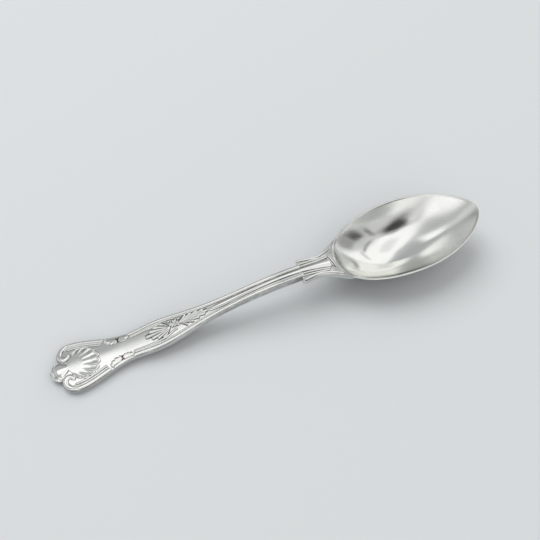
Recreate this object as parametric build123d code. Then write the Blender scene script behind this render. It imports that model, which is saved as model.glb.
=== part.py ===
from build123d import *

import os
from functools import cache
from math import acos, cos, pi, radians, sin, sqrt, tan

# A teaspoon struck from one blank: a deep bowl with a softly pointed tip, stepped shoulders, a
# slim stem and a fiddle-shaped end that carries a shell, scrolls and a thread border. Each solid
# is a region of that blank and meets its neighbours face to face.
#
# Frame: +X runs from the tip of the handle to the tip of the bowl, +Y is the left edge seen from
# the handle, +Z is up, and the spoon lies on a table with its hollow upwards. The origin is in the
# middle of its length and width, on the table. The spoon is drawn with x counted from the tip of
# the handle, and every finished solid is then moved back by half the length.

# Bowl
BOWL_LENGTH = 53.2
BOWL_WIDTH = 29.0
BOWL_DEPTH = 11.3
BOWL_WALL = 1.2
RIM_THICKNESS = 0.9
BOWL_TILT = 4.0
TIP_POINT = 0.26
HEEL_FULLNESS = 0.2
OUTLINE_POWER = 6
BOWL_ROUNDNESS = 2.3
REST_FLAT_DEPTH = 0.12

# Shoulders, and the drop behind the bowl
SHOULDER_LENGTH = 12.6
SHOULDER_WIDTH = 8.3
NECK_WIDTH = 7.1
NECK_END_THICKNESS = 1.7
SHOULDER_FLARE = 5.4
SHOULDER_SLOPE = 0.1
FLARE_SLOPE = 0.75
DROP_WIDTH = 5.6
DROP_LENGTH = 13.0
DROP_HEIGHT = 0.8

# Handle seen from above
HANDLE_LENGTH = 84.0
KNOP_LENGTH = 3.9
KNOP_WIDTH = 6.6
LOBE_RADIUS = 4.2
LOBE_REACH = 0.8
END_WIDTH = 16.6
END_FULLNESS = 0.18
BRACKET_X = 24.4
BRACKET_WIDTH = 9.1
WAIST_X = 34.0
WAIST_WIDTH = 9.8
TAPER_HOLLOW = 0.2
STEM_X = 61.0
STEM_WIDTH = 4.7

# Handle seen from the side
END_THICKNESS = 2.2
STEM_THICKNESS = 2.5
LIFT_X = 26.0
END_LIFT = 0.9
MID_STEM_SHARE = 0.6
CREST_RISE = 1.7
HEEL_RISE = 0.4
KNOP_SWELL = 0.35

# Struck relief: threads and scrolls
FRONT_RELIEF = 0.4
BACK_RELIEF = 0.35
GROOVE_FLOOR = 0.14
THREAD_INSET = 0.2
THREAD_WIDTH = 0.45
THREAD_GAP = 0.25
STEM_THREAD_X = 26.0
SCROLL_RADIUS = 2.1
SCROLL_BUTTON = 1.1
SCROLL_OUTSET = 0.5
RIB_CLEARANCE = 0.1
RIB_END_WIDTH = 4.0
BAR_WIDTH = 0.6
BAR_LENGTH = 5.0

# Struck relief: shell, husks, honeysuckle, tie and leaf spray
SHELL_X = 5.2
SHELL_LENGTH = 10.4
SHELL_FLUTES = 11
SHELL_SPREAD = 140.0
FLUTE_RADIUS = 0.85
FLUTE_HEIGHT = 0.6
HUSK_LENGTH = 8.0
HUSK_LEAVES = 3
HUSK_SPREAD = 26.0
HUSK_LEAN = 4.0
HUSK_RADIUS = 0.75
LEAF_HEIGHT = 0.45
ROOT_SHARE = 0.3
DISC_SHARE = 0.42
DISC_AHEAD = 0.4
TIE_X = 41.0
TIE_LENGTH = 1.3
TIE_WIDTH = 4.2
TIE_HEIGHT = 0.55
PETALS = 7
PETAL_LENGTH = 9.6
PETAL_SPREAD = 104.0
PETAL_RADIUS = 0.6
PETAL_TAPER = 2.0
SPRAY_LEAVES = 7
SPRAY_LENGTH = 10.2
SPRAY_SPREAD = 56.0
SPRAY_RADIUS = 0.45
SPRAY_TAPER = 0.8

# Places that follow, with x counted from the tip of the handle
HEEL_X = HANDLE_LENGTH + SHOULDER_LENGTH
CREST_X = HANDLE_LENGTH + SHOULDER_LENGTH / 5
NECK_X = HANDLE_LENGTH + SHOULDER_LENGTH / 2
FLARE_X = HEEL_X + SHOULDER_FLARE
BAR_X = HEEL_X - RIM_THICKNESS - 2 * BAR_WIDTH - THREAD_GAP
BOWL_X = HEEL_X + BOWL_LENGTH / 2 * cos(radians(BOWL_TILT))
TOTAL_LENGTH = HEEL_X + BOWL_LENGTH * cos(radians(BOWL_TILT))
LOBE_X = KNOP_LENGTH - LOBE_REACH + LOBE_RADIUS
LOBE_Y = END_WIDTH / 2 - LOBE_RADIUS
SCROLL_X = LOBE_X - LOBE_RADIUS + THREAD_INSET + SCROLL_RADIUS
SCROLL_Y = LOBE_Y + SCROLL_OUTSET
THREAD_BAND = THREAD_INSET + 2 * THREAD_WIDTH + THREAD_GAP
END_THREAD_X = STEM_THREAD_X - HUSK_LENGTH
RIB_X = TIE_X + TIE_LENGTH / 2 + SPRAY_LENGTH
REACH = TOTAL_LENGTH
RING_POINTS = 24
RING_SHARES = (1.0, 0.92, 0.78, 0.58, 0.34, 0.12)


def bowl_outline(angle, half_length, half_width):
    """Point of the bowl's outline: an oval, fuller at the heel and drawn to a point at the tip."""
    towards_tip = ((1 + cos(angle)) / 2) ** OUTLINE_POWER
    towards_heel = ((1 - cos(angle)) / 2) ** OUTLINE_POWER
    shaping = 1 - TIP_POINT * towards_tip + HEEL_FULLNESS * towards_heel
    return half_length * cos(angle), half_width * sin(angle) * shaping


def bowl_ring(half_length, half_width, level):
    """Closed curve of the bowl's outline at one level."""
    points = []
    for k in range(RING_POINTS):
        x, y = bowl_outline(2 * pi * k / RING_POINTS, half_length, half_width)
        points.append((x, y, level))
    return Wire([Spline(*points, periodic=True)])


def bowl_form(half_length, half_width, depth):
    """Solid that fills a bowl, lofted through level rings from the rim down to a small floor."""
    rings = []
    for share in RING_SHARES:
        level = -depth * (1 - share**BOWL_ROUNDNESS)
        rings.append(bowl_ring(half_length * share, half_width * share, level))
    return Solid.make_loft(rings)


def place_bowl(shape, height):
    """Tilts a solid made about the rim's middle and sets it in place, tip up."""
    return Pos(BOWL_X, 0, height) * Rot(0, -BOWL_TILT, 0) * shape


outer_form = bowl_form(BOWL_LENGTH / 2, BOWL_WIDTH / 2, BOWL_DEPTH + BOWL_WALL)
inner_form = bowl_form(
    BOWL_LENGTH / 2 - RIM_THICKNESS, BOWL_WIDTH / 2 - RIM_THICKNESS, BOWL_DEPTH
)
RIM_Z = -place_bowl(outer_form, 0).bounding_box().min.Z - REST_FLAT_DEPTH
HEEL_Z = RIM_Z - BOWL_LENGTH / 2 * sin(radians(BOWL_TILT))
REST_LIFT = max(BACK_RELIEF, KNOP_SWELL)
END_TOP = REST_LIFT + END_THICKNESS
LIFT_TOP = END_TOP + END_LIFT
CREST_TOP = HEEL_Z + CREST_RISE

# Side view of the handle and shoulders: x, height of the upper face, thickness
SIDE_STATIONS = [
    (0.0, END_TOP, END_THICKNESS),
    (LIFT_X, LIFT_TOP, END_THICKNESS),
    (
        (LIFT_X + CREST_X) / 2,
        LIFT_TOP + MID_STEM_SHARE * (CREST_TOP - LIFT_TOP),
        (END_THICKNESS + STEM_THICKNESS) / 2,
    ),
    (CREST_X, CREST_TOP, STEM_THICKNESS),
    (HEEL_X, HEEL_Z + HEEL_RISE, NECK_END_THICKNESS),
    (FLARE_X, HEEL_Z + SHOULDER_FLARE * tan(radians(BOWL_TILT)), NECK_END_THICKNESS),
]

# Half-widths of the handle in plan, from the lobes to the shoulders
HANDLE_EDGE = [
    (LOBE_X, END_WIDTH / 2),
    ((LOBE_X + BRACKET_X) / 2, (END_WIDTH + BRACKET_WIDTH) / 4 + END_FULLNESS),
    (BRACKET_X, BRACKET_WIDTH / 2),
    (WAIST_X, WAIST_WIDTH / 2),
    ((WAIST_X + STEM_X) / 2, (WAIST_WIDTH + STEM_WIDTH) / 4 - TAPER_HOLLOW),
    (STEM_X, STEM_WIDTH / 2),
    (HANDLE_LENGTH, STEM_WIDTH / 2),
]

# Half-widths of the shoulders in plan, from the step to where they run out beside the rim
flare_angle = acos(2 * SHOULDER_FLARE / BOWL_LENGTH - 1)
SHOULDER_EDGE = [
    (HANDLE_LENGTH, SHOULDER_WIDTH / 2),
    (NECK_X, NECK_WIDTH / 2),
    (FLARE_X, bowl_outline(flare_angle, BOWL_LENGTH / 2, BOWL_WIDTH / 2)[1]),
]


def side_curve(offset, under):
    """Long curve of the handle in side view: its upper or lower face, raised by an offset."""
    points = [(x, 0, top - (thick if under else 0) + offset) for x, top, thick in SIDE_STATIONS]
    return Spline(*points, tangents=[(1, 0, 0), (1, 0, tan(radians(BOWL_TILT)))])


def side_layer(lower, upper):
    """Layer between two side curves, wider than the spoon."""
    ends = [Line(lower @ 0, upper @ 0), Line(lower @ 1, upper @ 1)]
    return extrude(make_face([lower, upper, *ends]), REACH, dir=(0, 1, 0), both=True)


upper_face = side_curve(0, False)
lower_face = side_curve(0, True)
core_layer = side_layer(lower_face, upper_face)


@cache
def relief_layer(height, under):
    """Layer of one height on the upper face of the handle, or under its lower face."""
    if under:
        return side_layer(side_curve(-height, True), lower_face)
    return side_layer(upper_face, side_curve(height, False))


def prism(face):
    """Upright prism on a face drawn in plan."""
    return extrude(face, REACH, dir=(0, 0, 1), both=True)


def slice_of(x0, x1):
    """Block that holds one stretch of the spoon's length."""
    return Pos((x0 + x1) / 2, 0, 0) * Box(x1 - x0, 2 * REACH, 2 * REACH)


def edge_curve(stations, inset, side, tangents):
    """Curve inside an edge of the plan, at one distance from it; side is 1 left and -1 right."""
    points = [(x, side * (half - inset)) for x, half in stations]
    return Spline(*points, tangents=[(1, side * slope) for slope in tangents])


def handle_edge(inset, side):
    """Edge of the handle, or a curve at one distance inside it."""
    return edge_curve(HANDLE_EDGE, inset, side, (0, 0))


def strip(outer, inner):
    """Face between two curves of the plan."""
    return make_face([outer, inner, Line(outer @ 0, inner @ 0), Line(outer @ 1, inner @ 1)])


def shoulder_edge(inset, side):
    """Edge of a shoulder, or a curve at one distance inside it."""
    return edge_curve(SHOULDER_EDGE, inset, side, (-SHOULDER_SLOPE, FLARE_SLOPE))


@cache
def handle_plan():
    """Outline of the handle: straight at the knop, round lobes, then the waisted edges."""
    end_y = LOBE_Y - sqrt(LOBE_RADIUS**2 - (LOBE_X - KNOP_LENGTH) ** 2)
    edges = [Line((KNOP_LENGTH, -end_y), (KNOP_LENGTH, end_y))]
    for side in (1, -1):
        lobe = ThreePointArc(
            (KNOP_LENGTH, side * end_y),
            (LOBE_X - LOBE_RADIUS, side * LOBE_Y),
            (LOBE_X, side * END_WIDTH / 2),
        )
        edges += [lobe, handle_edge(0, side)]
    edges.append(Line((HANDLE_LENGTH, -STEM_WIDTH / 2), (HANDLE_LENGTH, STEM_WIDTH / 2)))
    return make_face(edges)


def shoulder_plan():
    """Outline of the shoulders, carried on under the bowl's rim."""
    return strip(shoulder_edge(0, 1), shoulder_edge(0, -1))


def bowl_plug():
    """Bowl filled up and carried on above its rim, which no other piece may enter."""
    lid = extrude(Face(bowl_ring(BOWL_LENGTH / 2, BOWL_WIDTH / 2, 0)), REACH, dir=(0, 0, 1))
    return place_bowl(outer_form, RIM_Z) + place_bowl(lid, RIM_Z)


def make_bowl():
    """Dished bowl with a thin rim and a small worn flat where it rests."""
    dish = place_bowl(outer_form, RIM_Z) - place_bowl(inner_form, RIM_Z)
    return dish - table


def make_drop():
    """Rounded tongue on the back of the bowl, below the shoulders."""
    half = DROP_WIDTH / 2
    tip_x = HEEL_X + DROP_LENGTH
    tongue = make_face(
        [
            Line((HANDLE_LENGTH, -half), (HANDLE_LENGTH, half)),
            Line((HANDLE_LENGTH, half), (tip_x - half, half)),
            ThreePointArc((tip_x - half, half), (tip_x, 0), (tip_x - half, -half)),
            Line((tip_x - half, -half), (HANDLE_LENGTH, -half)),
        ]
    )
    jacket = bowl_form(
        BOWL_LENGTH / 2 + DROP_HEIGHT,
        BOWL_WIDTH / 2 + DROP_HEIGHT,
        BOWL_DEPTH + BOWL_WALL + DROP_HEIGHT,
    )
    layer = place_bowl(jacket, RIM_Z) - place_bowl(outer_form, RIM_Z)
    above = side_layer(lower_face, side_curve(REACH, False))
    return (layer & prism(tongue)) - above - table


def make_knop():
    """Rounded tongue at the tip of the handle, a little thicker than the end that it closes."""
    half = KNOP_WIDTH / 2
    root = LOBE_X - LOBE_RADIUS / 2
    plan = make_face(
        [
            ThreePointArc((KNOP_LENGTH, -half), (0, 0), (KNOP_LENGTH, half)),
            Polyline((KNOP_LENGTH, half), (root, half), (root, -half), (KNOP_LENGTH, -half)),
        ]
    )
    low = REST_LIFT - KNOP_SWELL
    high = END_TOP + KNOP_SWELL
    nose = (high - low) / 2
    side_view = make_face(
        [
            ThreePointArc((nose, 0, low), (0, 0, low + nose), (nose, 0, high)),
            Polyline((nose, 0, high), (root, 0, high), (root, 0, low), (nose, 0, low)),
        ]
    )
    tongue = prism(plan) & extrude(side_view, KNOP_WIDTH, dir=(0, 1, 0), both=True)
    return tongue - prism(handle_plan())


def scroll_plan(side, radius):
    """Disc about the eye of a scroll, in a lobe of the handle's end."""
    return Pos(SCROLL_X, side * SCROLL_Y) * Circle(radius)


def make_scroll(side):
    """Scroll in which the end's border begins: a round edge about a raised button."""
    groove = scroll_plan(side, SCROLL_RADIUS - THREAD_WIDTH) - scroll_plan(side, SCROLL_BUTTON)
    disc = prism(scroll_plan(side, SCROLL_RADIUS)) & relief_layer(FRONT_RELIEF, False)
    return disc - (prism(groove) - relief_layer(GROOVE_FLOOR, False))


def make_thread(edge, side, x0, x1, relief, under):
    """Double thread along an edge: two raised lines with a groove between them."""
    first = THREAD_INSET + THREAD_WIDTH
    band = prism(strip(edge(THREAD_INSET, side), edge(THREAD_BAND, side)))
    groove = prism(strip(edge(first, side), edge(first + THREAD_GAP, side)))
    tall = band & relief_layer(relief, under) & slice_of(x0, x1)
    return tall - (groove - relief_layer(GROOVE_FLOOR, under))


def rib_plan(length, tip_radius):
    """Plan of a rib that widens from its root to a round end, along +X from the origin."""
    shoulder = length - tip_radius
    root = tip_radius * ROOT_SHARE
    return make_face(
        [
            Line((-root, -root), (-root, root)),
            Line((-root, root), (shoulder, tip_radius)),
            ThreePointArc((shoulder, tip_radius), (length, 0), (shoulder, -tip_radius)),
            Line((shoulder, -tip_radius), (-root, -root)),
        ]
    )


def fan_plans(origin, heading, ribs, spread, reach, tip_radius):
    """Plans of a fan of ribs, as in a shell, a flower or a spray of leaves, and of the low disc
    that joins them. reach gives a rib's length from its angle off the middle of the fan."""
    fan = []
    for k in range(ribs):
        turn = spread * (k / (ribs - 1) - 0.5)
        rib = rib_plan(reach(radians(turn)), tip_radius)
        fan.append(Pos(*origin) * Rot(0, 0, heading + turn) * rib)
    ahead = Pos(*origin) * Rot(0, 0, heading) * Pos(reach(0) * DISC_AHEAD, 0)
    return fan[0].fuse(*fan[1:]), ahead * Circle(reach(0) * DISC_SHARE)


def make_relief(ribs, disc, height, under):
    """Raises ribs to their height on a face of the handle, with the low disc between them."""
    low = prism(disc) & relief_layer(GROOVE_FLOOR, under)
    return (prism(ribs) & relief_layer(height, under)) + low


@cache
def field():
    """Plan of the handle inside its thread border."""
    inset = THREAD_BAND + RIB_CLEARANCE
    return strip(handle_edge(inset, 1), handle_edge(inset, -1))


def make_shell(height, under):
    """Scallop shell: flutes that fan out from a hinge at the knop, with a round edge."""
    ribs, disc = fan_plans(
        (SHELL_X, 0),
        0,
        SHELL_FLUTES,
        SHELL_SPREAD,
        lambda turn: SHELL_LENGTH * cos(turn),
        FLUTE_RADIUS,
    )
    return make_relief(ribs & handle_plan(), disc & handle_plan(), height, under)


def make_husk(side):
    """Small leaves on an edge, where the waist meets the wide end of the handle."""
    ribs, disc = fan_plans(
        (STEM_THREAD_X, side * (BRACKET_WIDTH / 2 - THREAD_BAND / 2)),
        180 - side * HUSK_LEAN,
        HUSK_LEAVES,
        HUSK_SPREAD,
        lambda turn: HUSK_LENGTH * cos(2 * turn),
        HUSK_RADIUS,
    )
    stretch = Pos((END_THREAD_X + STEM_THREAD_X) / 2, 0) * Rectangle(HUSK_LENGTH, END_WIDTH)
    inside = strip(handle_edge(THREAD_INSET, 1), handle_edge(THREAD_INSET, -1)) & stretch
    return make_relief(ribs & inside, disc & inside, LEAF_HEIGHT, False)


def tie_plan():
    """Outline of the band that ties the flower to the spray."""
    return Pos(TIE_X, 0) * Rectangle(TIE_LENGTH, TIE_WIDTH) & field()


def make_tie():
    """Band that ties the flower to the spray."""
    return prism(tie_plan()) & relief_layer(TIE_HEIGHT, False)


def make_honeysuckle():
    """Flower whose petals open towards the wide end of the handle."""
    ribs, disc = fan_plans(
        (TIE_X, 0),
        180,
        PETALS,
        PETAL_SPREAD,
        lambda turn: (PETAL_LENGTH + TIE_LENGTH / 2) * cos(turn) ** PETAL_TAPER,
        PETAL_RADIUS,
    )
    inside = (field() - tie_plan()) & Pos(TIE_X / 2, 0) * Rectangle(TIE_X, END_WIDTH)
    return make_relief(ribs & inside, disc & inside, LEAF_HEIGHT, False)


def make_spray():
    """Leaves that point along the stem from the tie."""
    ribs, disc = fan_plans(
        (TIE_X, 0),
        0,
        SPRAY_LEAVES,
        SPRAY_SPREAD,
        lambda turn: (SPRAY_LENGTH + TIE_LENGTH / 2) * cos(2 * turn) ** SPRAY_TAPER,
        SPRAY_RADIUS,
    )
    ahead = Pos((TIE_X + RIB_X) / 2, 0) * Rectangle(RIB_X - TIE_X, END_WIDTH)
    inside = (field() - tie_plan()) & ahead
    return make_relief(ribs & inside, disc & inside, LEAF_HEIGHT, False)


def make_stem_rib():
    """Raised middle of the stem, which widens over the neck to the bar."""
    stem_half = STEM_WIDTH / 2 - THREAD_BAND - RIB_CLEARANCE
    stations = [(HANDLE_LENGTH, stem_half), (BAR_X, RIB_END_WIDTH / 2)]
    edges = [edge_curve(stations, 0, side, (0, FLARE_SLOPE / 4)) for side in (1, -1)]
    stem = prism(field()) & slice_of(RIB_X, HANDLE_LENGTH)
    return (stem + prism(strip(*edges))) & relief_layer(FRONT_RELIEF, False)


def make_bar():
    """Double bar across the front of the neck."""
    span = 2 * BAR_WIDTH + THREAD_GAP
    middle = Pos(BAR_X + span / 2, 0)
    tall = prism(middle * Rectangle(span, BAR_LENGTH)) & relief_layer(FRONT_RELIEF, False)
    groove = prism(middle * Rectangle(THREAD_GAP, 2 * BAR_LENGTH))
    return tall - (groove - relief_layer(GROOVE_FLOOR, False))


table = Pos(TOTAL_LENGTH / 2, 0, -REACH) * Box(4 * REACH, 4 * REACH, 2 * REACH)
plug = bowl_plug()
scrolls = prism(scroll_plan(1, SCROLL_RADIUS)) + prism(scroll_plan(-1, SCROLL_RADIUS))

pieces = {
    "bowl": make_bowl(),
    "shoulders": (prism(shoulder_plan()) & core_layer) - plug,
    "back_drop": make_drop(),
    "handle": prism(handle_plan()) & core_layer,
    "tip_knop": make_knop(),
    "front_shell": make_shell(FLUTE_HEIGHT, False) - scrolls,
    "back_shell": make_shell(BACK_RELIEF, True),
    "front_tie": make_tie(),
    "front_honeysuckle": make_honeysuckle(),
    "front_leaf_spray": make_spray(),
    "stem_rib": make_stem_rib(),
    "heel_bar": make_bar() - plug,
}

for hand, side in (("left", 1), ("right", -1)):
    front_end = make_thread(handle_edge, side, LOBE_X, END_THREAD_X, FRONT_RELIEF, False)
    pieces[f"{hand}_scroll"] = make_scroll(side)
    pieces[f"{hand}_husk"] = make_husk(side)
    pieces[f"{hand}_end_thread"] = front_end - scrolls
    pieces[f"{hand}_stem_thread"] = make_thread(
        handle_edge, side, STEM_THREAD_X, HANDLE_LENGTH, FRONT_RELIEF, False
    )
    pieces[f"{hand}_wing_thread"] = (
        make_thread(shoulder_edge, side, HANDLE_LENGTH, HEEL_X, FRONT_RELIEF, False) - plug
    )
    pieces[f"{hand}_back_thread"] = make_thread(
        handle_edge, side, LOBE_X, STEM_X, BACK_RELIEF, True
    )

os.makedirs("parts", exist_ok=True)
for name, shape in pieces.items():
    placed = Pos(-TOTAL_LENGTH / 2, 0, 0) * shape
    export_step(placed, f"parts/{name}.step")
    print(name, len(placed.solids()), round(placed.volume, 3))
print("length", round(TOTAL_LENGTH, 3), "rim", round(RIM_Z, 3), "heel", round(HEEL_Z, 3))
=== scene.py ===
# %% [markdown]
# A struck, silver-plated teaspoon
#
# The real spoon is stamped out of one blank of white metal between two steel dies, trimmed, dished and
# then plated with silver. Its ornament is not stuck on: every thread, shell and leaf is metal that
# flowed up into the die. This script dresses the CAD spoon. Each CAD solid gets one finer piece, named
# after it and in its place, with the soft edges and the small swellings that a die leaves.

import bmesh
import bpy
import numpy as np
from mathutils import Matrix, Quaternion, Vector


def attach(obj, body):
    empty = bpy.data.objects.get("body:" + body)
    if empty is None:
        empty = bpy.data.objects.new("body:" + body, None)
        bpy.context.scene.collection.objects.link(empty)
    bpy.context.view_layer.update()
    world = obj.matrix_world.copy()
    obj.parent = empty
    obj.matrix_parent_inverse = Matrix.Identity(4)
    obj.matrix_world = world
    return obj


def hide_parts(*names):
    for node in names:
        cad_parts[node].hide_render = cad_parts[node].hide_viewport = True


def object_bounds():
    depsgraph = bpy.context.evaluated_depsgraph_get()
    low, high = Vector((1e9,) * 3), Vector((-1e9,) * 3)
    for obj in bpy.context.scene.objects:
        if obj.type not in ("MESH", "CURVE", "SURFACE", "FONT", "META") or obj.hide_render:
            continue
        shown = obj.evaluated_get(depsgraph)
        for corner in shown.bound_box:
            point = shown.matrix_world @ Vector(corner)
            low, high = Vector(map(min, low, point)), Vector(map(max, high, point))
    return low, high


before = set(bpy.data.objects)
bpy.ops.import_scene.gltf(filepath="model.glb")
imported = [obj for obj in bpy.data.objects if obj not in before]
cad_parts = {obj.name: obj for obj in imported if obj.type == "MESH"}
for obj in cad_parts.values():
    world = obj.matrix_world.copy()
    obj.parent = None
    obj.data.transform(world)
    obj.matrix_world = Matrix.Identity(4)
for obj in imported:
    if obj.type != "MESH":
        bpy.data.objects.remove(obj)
cad_low, cad_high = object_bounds()
print("CAD box, mm:", [round(1000 * v, 2) for v in (*cad_low, *cad_high)])

# %% [markdown]
# Shapes are worked out in millimetres, with x counted from the tip of the handle, because that is how
# a die sinker would measure the spoon. One small function turns those places into the frame's metres.

# %% Millimetres on the spoon to metres in the frame
MM = 0.001
HANDLE_TIP = cad_low.x


def places(*parts):
    """Grid or line of places from its coordinates."""
    return np.stack(parts, -1)


def to_frame(points):
    """Places on the spoon in millimetres, as places in the frame in metres."""
    return np.asarray(points) * MM + np.array([HANDLE_TIP, 0.0, 0.0])


print("the handle's tip in the frame, mm:", round(HANDLE_TIP / MM, 2))

# %% [markdown]
# The camera stands in front of the spoon, to the left, and looks down at about 58 degrees. The
# direction and the lens were found by matching the spoon's outline to the photo.

# %% Camera
CAMERA_AT = (31.93, -101.98, 195.49)
CAMERA_LOOK = Vector((0.2003, 0.4906, -0.8480))
SENSOR = 36.0
FOCAL_PIXELS = 670.1
IMAGE_PIXELS = 540
NEAREST_SEEN = 0.01


def add_object(name, data):
    """New object in the scene."""
    thing = bpy.data.objects.new(name, data)
    bpy.context.scene.collection.objects.link(thing)
    return thing


camera = add_object("camera", bpy.data.cameras.new("camera"))
camera.data.sensor_width = SENSOR
camera.data.lens = FOCAL_PIXELS / IMAGE_PIXELS * SENSOR
camera.data.clip_start = NEAREST_SEEN
camera.location = to_frame(CAMERA_AT)
camera.rotation_euler = CAMERA_LOOK.to_track_quat("-Z", "Y").to_euler()
bpy.context.scene.camera = camera
print("lens, mm:", round(camera.data.lens, 2))

# %% [markdown]
# The spoon's long curves are given by a few stations, as on a ship's plan, and a smooth curve is drawn
# through them. Blender's own curves could do that too, but a plain function of x is easier here,
# because every ornament has to ask how high the metal is below it.

# %% A smooth curve through stations


def smooth_curve(stations, first_slope=0.0, last_slope=0.0):
    """Function that runs smoothly through (x, value) stations, with given slopes at its two ends."""
    x, value = np.array(stations, float).T
    step = np.diff(x)
    rise = np.diff(value) / step
    count = len(x)
    matrix = np.eye(count)
    right = np.zeros(count)
    right[0], right[-1] = first_slope, last_slope
    for k in range(1, count - 1):
        matrix[k, k - 1 : k + 2] = step[k], 2 * (step[k - 1] + step[k]), step[k - 1]
        right[k] = 3 * (step[k] * rise[k - 1] + step[k - 1] * rise[k])
    slope = np.linalg.solve(matrix, right)

    def curve(at):
        at = np.clip(at, x[0], x[-1])
        k = np.clip(np.searchsorted(x, at) - 1, 0, count - 2)
        t = (at - x[k]) / step[k]
        start = (1 + 2 * t) * (1 - t) ** 2 * value[k] + t * (1 - t) ** 2 * step[k] * slope[k]
        return start + t * t * (3 - 2 * t) * value[k + 1] + t * t * (t - 1) * step[k] * slope[k + 1]

    return curve


print("half of the way up a rise of 1:", smooth_curve([(0, 0), (1, 1)])(0.5))

# %% [markdown]
# A few small functions shape nearly everything else: a straight ramp, a soft step, the quarter round of
# a worn edge, and places that crowd together where metal turns. The quarter round mostly stops a hair
# short of its end, so that no face shrinks to nothing.

# %% Ramps, rounds and crowded places


def ramp(value, start, stop):
    """Straight ramp from 0 at start to 1 at stop, held at both ends."""
    return np.clip((value - start) / (stop - start), 0, 1)


def ease(value, start, stop):
    """Soft step from 0 at start to 1 at stop."""
    share = ramp(value, start, stop)
    return share * share * (3 - 2 * share)


def quarter_round(share, fullness=0.999, power=2):
    """Quarter round that falls from 1 at share 0 nearly to 0 at share 1."""
    return np.sqrt(1 - fullness * share**power)


def to_both_edges(count):
    """Places from -1 to 1 that crowd together at both ends."""
    return np.sin(np.linspace(-np.pi / 2, np.pi / 2, count))


def to_one_edge(count, start=0.0):
    """Places from about start to 1 that crowd together at 1."""
    return np.sin(np.linspace(start, np.pi / 2, count))


print("seven places across a bead:", to_both_edges(7).round(2))

# %% [markdown]
# Side view and plan of the handle. The wide end lies by the table, the stem climbs in a long slack
# curve to a crest just before the bowl, and the neck drops a little to the bowl's heel.

# %% Side view and plan of the handle
STEP_X = 84.0
WING_X = STEP_X - 0.25
HEEL_X = 96.6
FLARE_X = 102.0
BOWL_TILT = np.radians(4.0)
LOBE_X, LOBE_Y, LOBE_RADIUS = 7.3, 4.1, 4.2
WING_ROUND = 0.9

front_height = smooth_curve(
    [(0, 2.55), (26, 3.45), (56.26, 8.775), (86.52, 12.323), (HEEL_X, 11.023), (FLARE_X, 11.0)],
    last_slope=np.tan(BOWL_TILT),
)
thickness = smooth_curve(
    [(0, 2.2), (26, 2.2), (56.26, 2.35), (86.52, 2.5), (HEEL_X, 1.7), (FLARE_X, 1.7)]
)
edge_half = smooth_curve(
    [(LOBE_X, 8.3), (15.85, 6.605), (24.4, 4.55), (34, 4.9), (47.5, 3.43), (61, 2.35), (STEP_X, 2.35)]
)
wing_half = smooth_curve([(WING_X, 4.15), (90.3, 3.55), (FLARE_X, 9.2)], -0.1, 0.8)


def half_width(x):
    """Half of the handle's width at x: a round lobe at the end, then the waisted edge."""
    lobe = LOBE_Y + np.sqrt(np.maximum(LOBE_RADIUS**2 - (LOBE_X - x) ** 2, 0))
    return np.where(x < LOBE_X, lobe, edge_half(x))


def wing_width(x):
    """Half of the neck's width at x, with the wings' outer corners rounded off."""
    into_corner = ramp(x, WING_X + WING_ROUND, WING_X)
    return wing_half(x) - WING_ROUND * (1 - quarter_round(into_corner, 0.995))


print("height of the front at the tip, the crest and the heel:", front_height(np.array([0, 86.5, HEEL_X])))

# %% [markdown]
# Front and back of the handle. The front is a little crowned at the wide end, and polishing has rounded
# every edge. So each face asks how far a place is from the edge, and falls away close to it.

# %% Front and back of the handle
END_X = 3.1
EDGE_ROUND = 0.3
BACK_ROUND = 0.25
CROWN_STATIONS = [(12, 0.6), (18, 0.5), (24, 0.14), (44, 0.14), (56, 0.0)]
CROWN_LEVEL = 0.45
NECK_RISE = 0.1
LEDGE = 0.02
SLOPE_STEP = 0.05


def edge_slope(x):
    """Slope of the handle's edge in plan."""
    return (edge_half(x + SLOPE_STEP) - edge_half(x - SLOPE_STEP)) / (2 * SLOPE_STEP)


def edge_distance(x, y):
    """How far a place on the handle is from its edge."""
    along = (edge_half(x) - abs(y)) / np.sqrt(1 + edge_slope(x) ** 2)
    lobe = LOBE_RADIUS - np.hypot(x - LOBE_X, abs(y) - LOBE_Y)
    front = np.where(abs(y) > LOBE_Y, lobe, x - END_X)
    return np.where(x < LOBE_X, front, along)


def edge_drop(distance, radius):
    """How far a rounded edge has fallen, at a distance from the outline."""
    return radius * (1 - quarter_round(ramp(distance, radius, 0), 1))


def front_level(x, y):
    """Height of the front before its edges are rounded: crowned at the end, raised at the neck."""
    aside = np.clip(y / edge_half(x), -1, 1)
    crown = np.interp(x, *np.transpose(CROWN_STATIONS)) * (CROWN_LEVEL - aside**2)
    return front_height(x) + crown + NECK_RISE * (x > WING_X)


def front_face(x, y):
    """Height of the front of the handle and neck, rounded at the edge."""
    wing_distance = np.minimum(wing_width(x) - abs(y), x - WING_X + LEDGE)
    on_handle = edge_drop(edge_distance(x, y), EDGE_ROUND)
    on_neck = edge_drop(wing_distance, EDGE_ROUND)
    return front_level(x, y) - np.where(x > WING_X, on_neck, on_handle)


def back_face(x, y):
    """Height of the handle's back."""
    return front_height(x) - thickness(x) + edge_drop(edge_distance(x, y), BACK_ROUND)


print("front and back at the waist, mm:", front_face(30.0, 0.0).round(2), back_face(30.0, 0.0).round(2))

# %% [markdown]
# Every piece is a closed skin between two sheets: the one that is seen, and one that lies inside the
# metal below it. A grid of points makes each sheet. Rows that close on themselves make rings, as in a
# dome. Working with whole grids keeps the meshes even, closed and free of stray faces. Each point also
# carries a tone, dark at the bottom of a groove and bright on a crest, which the silver uses later on.
# Some pieces also lower the tone to lay painted shade on their metal.

# %% Closed skins between two sheets
SUNK = 0.16


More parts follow.
